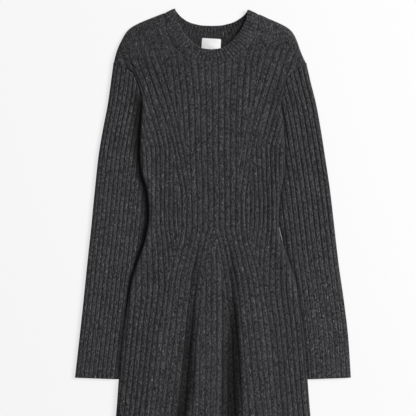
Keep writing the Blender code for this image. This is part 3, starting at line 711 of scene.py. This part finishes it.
def sleeve(hand):
    along = np.concatenate([np.linspace(0, 12, 7), np.linspace(15, SLEEVE_LENGTH, 190)])
    x, y, bend = sleeve_lines(hand, along)
    from_outer = np.abs(x - sleeve_edge[hand](y))
    from_outer[:, 0] = 0
    to_inner = np.hypot(x - x[:, -1:], y - y[:, -1:])
    ribs, q = sleeve_ribs(hand, along, from_outer, to_inner)
    top = SLEEVE_TOP + SLEEVE_RISE * bend + 0.3 * waves(x, y, 45, 3 + hand)
    # The inner side slopes gently down under the body.
    slope = 1 - (1 - np.clip(to_inner / SLEEVE_SLOPE, 0, 1)) ** 1.6
    mid = SLEEVE_MID - 1.1 * (1 - smooth(0, SLEEVE_SLOPE, to_inner))
    inside = np.minimum(round_up(from_outer, SLEEVE_ROUND), slope)
    z = mid + (top - mid) * inside
    z = z + (RIB_RISE * ribs - RIB_SINK * (1 - ribs)) * (0.2 + 0.5 * inside)
    # The sleeve sinks at the armhole seam, less towards the shoulder.
    head = smooth(-1.0, SEAM_WIDTH, along)[:, None]
    head = 1 - (1 - head) * (0.1 + 0.9 * smooth(0.25, 0.6, np.linspace(0, 1, x.shape[1])))
    z = SLEEVE_SEAM_Z + (z - SLEEVE_SEAM_Z) * np.where(z > SLEEVE_SEAM_Z, head, 1)
    near = np.minimum(from_outer, to_inner)
    low = mid * (1 - round_up(near, UNDER_ROUND))
    low = low + BACK_NOTCH * (1 - ribs) * smooth(0, UNDER_ROUND, near)
    light = sleeve_light(hand, x, y)
    few = way_back(x, SLEEVE_LINES[1])
    # At each point: x, y, z, q, the height that the turned-in cuff takes, and the light.
    turned = (mid + CUFF_GAP, mid - CUFF_GAP)
    layers = ((x, x), (y, y), (z, low), (q, q), turned, (light, light))
    ring = np.dstack([wrap(upper, lower[:, few]) for upper, lower in layers])
    head_rows = []
    for step, level in HEAD_TURN:
        row = ring[0].copy()
        row[:, 1] += step
        row[:, 2] = np.minimum(row[:, 2], level)
        head_rows.append(row)
    cuff_rows = []
    for at, step, inset in CUFF_TURN:
        row = ring[at].copy()
        centre = (row[:, 0].min() + row[:, 0].max()) / 2
        half = np.abs(row[:, 0] - centre).max()
        row[:, 0] = centre + (row[:, 0] - centre) * (1 - inset / half)
        row[:, 1] += step
        row[:, 2] += (row[:, 4] - row[:, 2]) * min(inset / CUFF_INSET, 1)
        cuff_rows.append(row)
    # The inside ends where the seam allowance begins.
    ring = np.concatenate([head_rows, ring, cuff_rows, head_rows[:1]])
    rib = np.dstack([ring[:, :, 3], ring[:, :, 1]])
    name = ("sleeve_right_knit", "sleeve_left_knit")[hand]
    return cloth_grid(name, ring[:, :, :3], rib, ring[:, :, 5], flip=(hand == 0))


def band_stations():
    """Places right round the neckband. Columns: x and y of the edge, x and y of the seam, the side
    of the neck, and how far the band is turned, from face up to face down."""
    stations = []
    for table, up, ways in ((BAND_FRONT, True, (-1, 1)), (BAND_BACK, False, (1, -1))):
        length, lines = band_half(table)
        count = 2 * round(length / BAND_STEP)
        for k in range(count):
            place = 2 * length * k / count - length
            s = length - abs(place)
            way = ways[0] if place < 0 else ways[1]
            turn = np.pi / 2 if up else -np.pi / 2
            stations.append((*[float(line(s)) for line in lines], way, turn))
        tip = [float(line(0.0)) for line in lines]
        for k in range(10):
            turn = np.pi / 2 - np.pi * k / 9
            stations.append((*tip, ways[1], turn if up else -turn))
    return np.array(stations)


def band_light(side, turn):
    """How much light the neckband gets at a distance to the left of the middle of the neck."""
    # Painted shade and light: the front half is darker past the middle and catches the light at the
    # left tip.
    upper = 1 - 0.1 * smooth(-30, -10, side) * smooth(74, 64, side)
    upper = upper + 0.18 * smooth(68, 78, side)
    # Painted shadow: the back half, seen inside the neck, is darker, most of all towards the left.
    lower = 0.76 - 0.36 * smooth(15, 55, side)
    return np.where(turn < 0, lower, upper)


def neckband():
    """A ring of ribbing: the front half lies face up, the back half below it face down."""
    data = band_stations()
    edge, seam, way, turn = data[:, :2], data[:, 2:4], data[:, 4:5], data[:, 5:6]
    across = edge - seam
    width = np.hypot(across[:, 0], across[:, 1])[:, None]
    across = across / width
    outward = np.column_stack([-across[:, 1], across[:, 0]])
    outward = outward * np.where(outward[:, 1:] < 0, -1, 1)
    seam = seam - across * BAND_OVERLAP
    width = width + BAND_OVERLAP
    middle = (edge + seam) / 2 + outward * BAND_TURN * np.cos(turn)
    flip = np.hstack([way, np.ones_like(way)])
    path = np.hstack([middle * flip, BAND_MID + BAND_TURN * np.sin(turn)])
    step = np.roll(path, -1, axis=0) - path
    along = np.concatenate([[0], np.cumsum(np.sqrt((step * step).sum(axis=1)))])[:-1]
    whole = along[-1] + np.sqrt((step[-1] ** 2).sum())
    phase = along / whole * round(whole / BAND_PITCH)
    phase = phase + 0.06 * np.sin(along / 9.0)
    from_valley = (phase - np.floor(phase)) * BAND_PITCH
    ones = np.ones_like(phase)
    ribs, q = rib_shape(from_valley, BAND_PITCH - from_valley, ones, ones)
    # The band's section is an oval with square shoulders.
    angle = np.linspace(0, 2 * np.pi, 27)
    c, s = (np.sign(part) * np.abs(part) ** 0.75 for part in (np.cos(angle), np.sin(angle)))
    # The ribs stand out less towards the left tip.
    rise = (BAND_RISE - 0.4 * smooth(30, 60, path[:, 0])) * ribs
    inner_rise = BAND_INNER_RISE * ribs
    half = np.where(s > 0, BAND_OUTER + rise[:, None], BAND_INNER + inner_rise[:, None])
    reach = width / 2 - 0.5 * (1 - ribs[:, None]) * (c > 0.5)
    flat = (edge + seam)[:, None, :] / 2 + across[:, None, :] * (c * reach)[:, :, None]
    lift = s * half
    # The fold at the shoulder thins out towards the seam.
    out = (BAND_TURN + lift) * np.cos(turn) * (0.66 + 0.34 * c)
    flat = flat + outward[:, None, :] * out[:, :, None]
    flat = flat * flip[:, None, :]
    height = path[:, 2:3] + lift * np.sin(turn)
    x = flat[:, :, 0] + NECK_X
    points = np.dstack([x, flat[:, :, 1] - left_dip(x), np.maximum(height, 0)])
    rib = np.dstack([np.repeat(q[:, None], len(angle), axis=1), c * reach])
    light = band_light(x - NECK_X, turn)
    points, rib, light = (np.concatenate([grid, grid[:1]]) for grid in (points, rib, light))
    return cloth_grid("neckband_knit", points, rib, light)


def label():
    """A blank woven tab, slightly bowed, sewn in under the neckband seam."""
    work = bmesh.new()
    bmesh.ops.create_cube(work, size=1.0)
    bmesh.ops.scale(work, vec=LABEL_SIZE, verts=work.verts)
    upright = [e for e in work.edges if abs(e.verts[0].co.z - e.verts[1].co.z) > 0.1]
    bmesh.ops.bevel(
        work, geom=upright, offset=2.2, segments=4, profile=0.5, affect="EDGES", material=-1
    )
    rim = [e for e in work.edges if abs(e.verts[0].co.z - e.verts[1].co.z) < 0.1]
    rim = [e for e in rim if len({round(f.normal.z) for f in e.link_faces}) > 1]
    bmesh.ops.bevel(
        work, geom=rim, offset=0.22, segments=2, profile=0.5, affect="EDGES", material=-1
    )
    for vert in work.verts:
        x, y, z = vert.co
        bow = 0.25 * (x / 20) ** 2
        place = (x - y * LABEL_TILT, y + x * LABEL_TILT, z + bow)
        vert.co = [(a + b) * MM for a, b in zip(place, LABEL_AT)]
    mesh = bpy.data.meshes.new("label_tape")
    work.to_mesh(mesh)
    work.free()
    mesh.shade_smooth()
    mesh.set_sharp_from_angle(angle=math.radians(50))
    obj = bpy.data.objects.new("label_tape", mesh)
    bpy.context.scene.collection.objects.link(obj)
    return obj


# --- Materials --------------------------------------------------------------------------------

DARK, LIGHT, FLECK = (0.005, 0.005, 0.0057), (0.073, 0.073, 0.0797), (0.22, 0.22, 0.23, 1)
STITCH = 3.3  # length of a loop along a rib, in millimetres
TAPE_TONE = 0.82
FLOOR_TONE, FLOOR_GLOW = (0.27, 0.27, 0.27, 1), 0.683


class Nodes:
    """Adds nodes to a tree and links them."""

    def __init__(self, tree):
        self.tree = tree

    def add(self, kind, inputs=(), **settings):
        node = self.tree.nodes.new(kind)
        for key, value in settings.items():
            setattr(node, key, value)
        for socket, value in dict(inputs).items():
            if isinstance(value, bpy.types.NodeSocket):
                self.tree.links.new(value, node.inputs[socket])
            else:
                node.inputs[socket].default_value = value
        return node

    def math(self, operation, a, b=0.0, c=0.0, clamp=False):
        inputs = {0: a, 1: b, 2: c}
        return self.add("ShaderNodeMath", inputs, operation=operation, use_clamp=clamp).outputs[0]

    def ramp(self, value, low, high, start=0.0, end=1.0):
        inputs = {"Value": value, "From Min": low, "From Max": high, "To Min": start, "To Max": end}
        return self.add("ShaderNodeMapRange", inputs, interpolation_type="SMOOTHSTEP").outputs[0]

    def mix(self, share, a, b, blend="MIX"):
        node = self.add("ShaderNodeMix", (), data_type="RGBA", blend_type=blend)
        for socket, value in ((node.inputs[0], share), (node.inputs[6], a), (node.inputs[7], b)):
            if isinstance(value, bpy.types.NodeSocket):
                self.tree.links.new(value, socket)
            else:
                socket.default_value = value
        return node.outputs[2]

    def noise(self, vector, scale, detail=2.0, roughness=0.5):
        inputs = {"Vector": vector, "Scale": scale, "Detail": detail, "Roughness": roughness}
        return self.add("ShaderNodeTexNoise", inputs).outputs[0]


def group(name, outputs, inputs=()):
    tree = bpy.data.node_groups.new(name, "ShaderNodeTree")
    for title, kind in inputs:
        tree.interface.new_socket(title, in_out="INPUT", socket_type=kind)
    for title, kind in outputs:
        tree.interface.new_socket(title, in_out="OUTPUT", socket_type=kind)
    return tree, Nodes(tree)


def knit_and_shade_group():
    """Colour of mottled yarn with painted shade, and the height of its loops."""
    tree, n = group(
        "Heather knit and painted shade",
        [("Color", "NodeSocketColor"), ("Height", "NodeSocketFloat")],
        [("Dark", "NodeSocketColor"), ("Light", "NodeSocketColor"), ("Valley", "NodeSocketFloat")],
    )
    given = n.add("NodeGroupInput")
    where = n.add("ShaderNodeTexCoord").outputs["Object"]
    rib = n.add("ShaderNodeSeparateXYZ", {0: n.add("ShaderNodeTexCoord").outputs["UV"]})
    wander = n.noise(where, scale=150.0, roughness=0.6)
    q = n.math("MULTIPLY_ADD", n.math("SUBTRACT", wander, 0.5), 0.18, rib.outputs[0])
    # Stitches: two legs slant to the middle of a column of loops, one column each side of a rib.
    leg = n.math("ABSOLUTE", n.math("MULTIPLY", n.math("SUBTRACT", q, 0.64), 2.8))
    lean = n.math("MULTIPLY", leg, 0.62)
    turn = n.math("FRACT", n.math("ADD", n.math("DIVIDE", rib.outputs[1], STITCH), lean))
    loop = n.math("SINE", n.math("MULTIPLY", turn, math.pi))
    loop = n.math("MULTIPLY", n.math("POWER", loop, 0.6), n.ramp(leg, 1.05, 0.5))
    valley = n.ramp(q, 0.03, 0.3)
    fine = n.noise(where, scale=1500.0, roughness=0.6)
    stretched = n.add("ShaderNodeMapping", {"Vector": where, "Scale": (0.96, 0.43, 1.0)}).outputs[0]
    middle = n.noise(stretched, scale=520.0, detail=1.0)
    fleck = n.noise(stretched, scale=330.0, roughness=0.75)
    patch = n.noise(where, scale=32.0)
    tone = n.math("MULTIPLY_ADD", n.math("SUBTRACT", middle, 0.5), 2.1, 0.4)
    tone = n.math("MULTIPLY_ADD", n.math("SUBTRACT", fleck, 0.5), 2.0, tone)
    tone = n.math("MULTIPLY_ADD", n.math("SUBTRACT", fine, 0.5), 0.8, tone)
    tone = n.math("MULTIPLY_ADD", n.math("SUBTRACT", patch, 0.5), 0.3, tone)
    # Less mottled where little light gets in.
    mottle = n.math("MULTIPLY_ADD", n.ramp(q, 0.05, 0.5), 0.6, 0.5)
    tone = n.math("MULTIPLY_ADD", n.math("SUBTRACT", tone, 0.4), mottle, 0.4, clamp=True)
    colour = n.mix(tone, given.outputs[0], given.outputs[1])
    bright = n.ramp(n.noise(stretched, scale=420.0, detail=1.0), 0.64, 0.78)
    bright = n.math("MULTIPLY", n.math("MULTIPLY", bright, mottle), 0.55)
    colour = n.mix(bright, colour, FLECK)
    # Painted shade: the rib valleys are darker, more in some places than in others.
    uneven = n.math("ADD", n.noise(where, scale=85.0, roughness=0.6), 0.5)
    dark = n.math("MULTIPLY", n.math("SUBTRACT", 1.0, valley), given.outputs[2])
    dark = n.math("MULTIPLY", dark, uneven, clamp=True)
    shade = n.math("SUBTRACT", 1.0, dark)
    # Painted shade between the loops of each stitch.
    shade = n.math("MULTIPLY", shade, n.math("MULTIPLY_ADD", loop, 0.3, 0.8))
    # Painted shade and light from each piece's Shade attribute.
    sheltered = n.add("ShaderNodeAttribute", attribute_name="Shade").outputs["Fac"]
    shade = n.math("MULTIPLY", shade, sheltered)
    shade_rgb = n.add("ShaderNodeCombineColor", {0: shade, 1: shade, 2: shade}).outputs[0]
    colour = n.mix(1.0, colour, shade_rgb, "MULTIPLY")
    height = n.math("MULTIPLY_ADD", loop, 0.7, n.math("MULTIPLY", fine, 0.5))
    height = n.math("MULTIPLY_ADD", valley, 0.4, height)
    n.add("NodeGroupOutput", {0: colour, 1: height})
    return tree


def knit(name, dark, light, valley, knit_and_shade):
    material = bpy.data.materials.new(name)
    material.use_nodes = True
    tree = material.node_tree
    n = Nodes(tree)
    shader = tree.nodes["Principled BSDF"]
    yarn = n.add("ShaderNodeGroup")
    yarn.node_tree = knit_and_shade
    yarn.inputs[0].default_value = (*dark, 1)
    yarn.inputs[1].default_value = (*light, 1)
    yarn.inputs[2].default_value = valley
    bump = n.add("ShaderNodeBump", {"Height": yarn.outputs[1], "Distance": 0.0007, "Strength": 0.7})
    tree.links.new(yarn.outputs[0], shader.inputs["Base Color"])
    tree.links.new(bump.outputs[0], shader.inputs["Normal"])
    shader.inputs["Roughness"].default_value = 0.95
    shader.inputs["Specular IOR Level"].default_value = 0.15
    shader.inputs["Sheen Weight"].default_value = 0.12
    shader.inputs["Sheen Roughness"].default_value = 0.6
    return material


def tape():
    material = bpy.data.materials.new("Label tape")
    material.use_nodes = True
    tree = material.node_tree
    n = Nodes(tree)
    shader = tree.nodes["Principled BSDF"]
    where = n.add("ShaderNodeSeparateXYZ", {0: n.add("ShaderNodeTexCoord").outputs["Object"]})
    warp = n.math("SINE", n.math("MULTIPLY", where.outputs[0], 9000.0))
    weft = n.math("SINE", n.math("MULTIPLY", where.outputs[1], 12000.0))
    weave = n.math("MULTIPLY", warp, weft)
    bump = n.add("ShaderNodeBump", {"Height": weave, "Distance": 0.0001, "Strength": 0.4})
    tree.links.new(bump.outputs[0], shader.inputs["Normal"])
    tone = n.math("MULTIPLY_ADD", weave, 0.02, TAPE_TONE)
    colour = n.add("ShaderNodeCombineColor", {0: tone, 1: tone, 2: tone}).outputs[0]
    tree.links.new(colour, shader.inputs["Base Color"])
    shader.inputs["Roughness"].default_value = 0.5
    return material


def floor_material():
    material = bpy.data.materials.new("Pale floor")
    material.use_nodes = True
    shader = material.node_tree.nodes["Principled BSDF"]
    shader.inputs["Base Color"].default_value = FLOOR_TONE
    shader.inputs["Roughness"].default_value = 0.9
    shader.inputs["Specular IOR Level"].default_value = 0.0
    shader.inputs["Emission Color"].default_value = (1, 1, 1, 1)
    shader.inputs["Emission Strength"].default_value = FLOOR_GLOW
    return material


# --- The dress --------------------------------------------------------------------------------

knit_and_shade = knit_and_shade_group()
# The number after the colours is the strength of the painted shade in the rib valleys.
body_knit = knit("Body knit", DARK, LIGHT, 0.66, knit_and_shade)
band_knit = knit("Neckband knit", DARK, LIGHT, 0.36, knit_and_shade)

pieces = {
    "front": (front(), (0.416, 0.886), 0.29),
    "back": (back(), (0.416, 0.886), 0.29),
    "sleeve_right": (sleeve(0), (0.300, 0.66), 0.155),
    "sleeve_left": (sleeve(1), (0.300, 0.66), 0.155),
    "neckband": (neckband(), (0.028, 0.51), None),
}
for node, (obj, flat, area) in pieces.items():
    obj.data.materials.append(band_knit if node == "neckband" else body_knit)
    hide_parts(node)
    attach(obj, "root")
tab = label()
tab.data.materials.append(tape())
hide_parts("label")
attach(tab, "root")

# --- Floor, light and camera --------------------------------------------------------------------

work = bmesh.new()
bmesh.ops.create_grid(work, x_segments=1, y_segments=1, size=40.0)
bmesh.ops.translate(work, vec=(0, 0, -0.0004), verts=work.verts)
floor_mesh = bpy.data.meshes.new("floor")
work.to_mesh(floor_mesh)
work.free()
floor_mesh.materials.append(floor_material())
floor = bpy.data.objects.new("floor", floor_mesh)
bpy.context.scene.collection.objects.link(floor)


def area_light(name, position, aim, size, power):
    lamp = bpy.data.lights.new(name, "AREA")
    lamp.shape = "DISK"
    lamp.size = size
    lamp.energy = power
    obj = bpy.data.objects.new(name, lamp)
    obj.location = position
    away = Vector(position) - Vector(aim)
    obj.rotation_euler = away.to_track_quat("Z", "Y").to_euler()
    bpy.context.scene.collection.objects.link(obj)
    return obj


key = area_light("key", position=(4.8, 1.6, 2.9), aim=(0, 0, 0), size=2.6, power=460.0)

scene = bpy.context.scene
world = bpy.data.worlds.new("world")
world.use_nodes = True
world.node_tree.nodes["Background"].inputs["Color"].default_value = (1, 1, 1, 1)
world.node_tree.nodes["Background"].inputs["Strength"].default_value = 0.32
scene.world = world
scene.view_settings.view_transform = "Standard"
scene.view_settings.look = "None"

camera = bpy.data.cameras.new("camera")
camera.lens = 85.0
camera.sensor_width = 36.0
camera.clip_end = 120.0
view = bpy.data.objects.new("camera", camera)
view.location = (-0.0111, 0.0307, 2.069)
bpy.context.scene.collection.objects.link(view)
scene.camera = view
